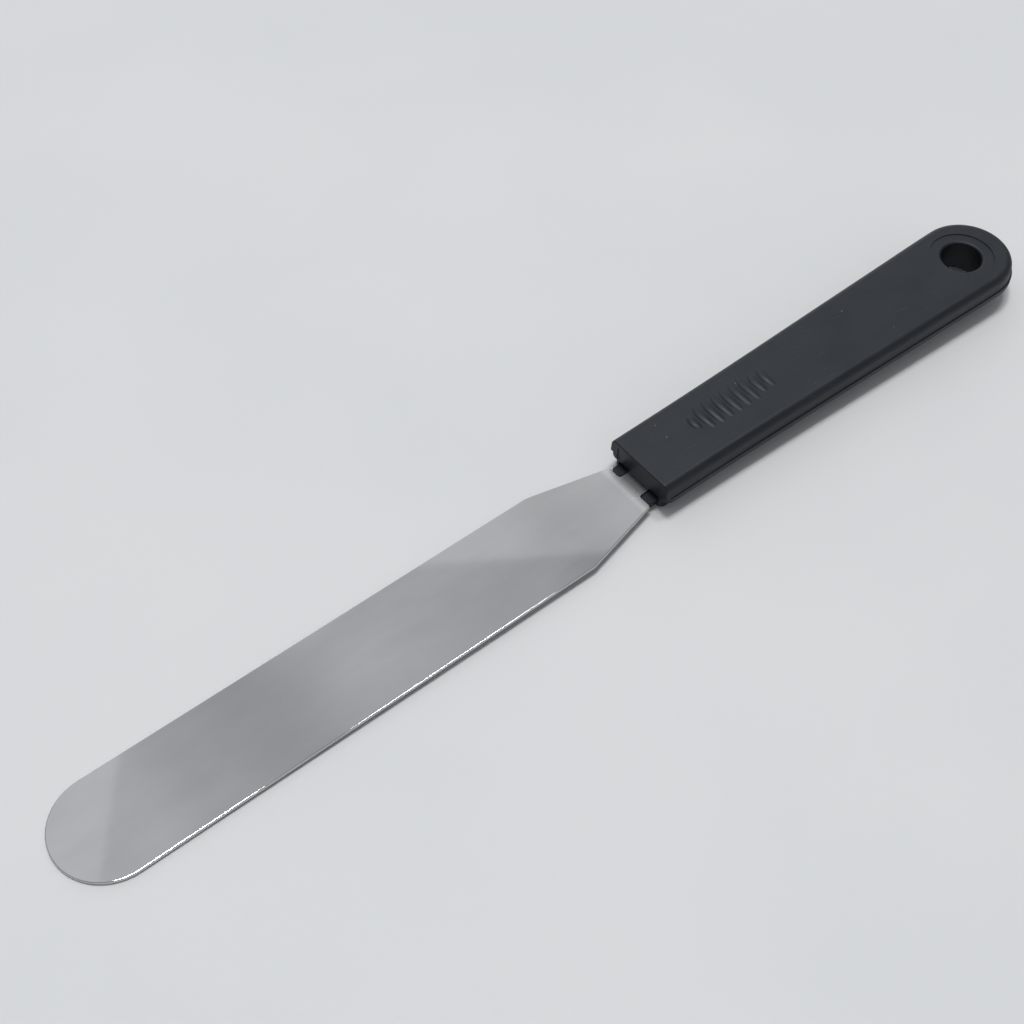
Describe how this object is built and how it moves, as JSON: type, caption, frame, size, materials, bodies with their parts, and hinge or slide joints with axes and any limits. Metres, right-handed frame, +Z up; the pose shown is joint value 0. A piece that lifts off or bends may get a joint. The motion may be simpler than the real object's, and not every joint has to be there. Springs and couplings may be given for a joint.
{
  "type": "icing spatula",
  "caption": "Straight icing spatula: thin round-tipped stainless blade with a tapered neck, in a black two-shell plastic handle with grip ridges and a hanging hole.",
  "frame": {"origin": "bottom centre of the bounding box, in the plane of the handle's underside", "axes": "+X from the blade's tip to the handle's end, +Z up out of the handle's top, +Y across the blade"},
  "size_m": [0.33, 0.03, 0.0115],
  "materials": {
    "blade_steel": "satin-polished stainless steel with fine scratches",
    "handle_plastic": "black moulded plastic, fine matte texture, lightly scuffed"
  },
  "bodies": {
    "root": {"blade": "blade_steel", "handle_lower_shell": "handle_plastic", "handle_upper_shell": "handle_plastic"}
  },
  "joints": []
}
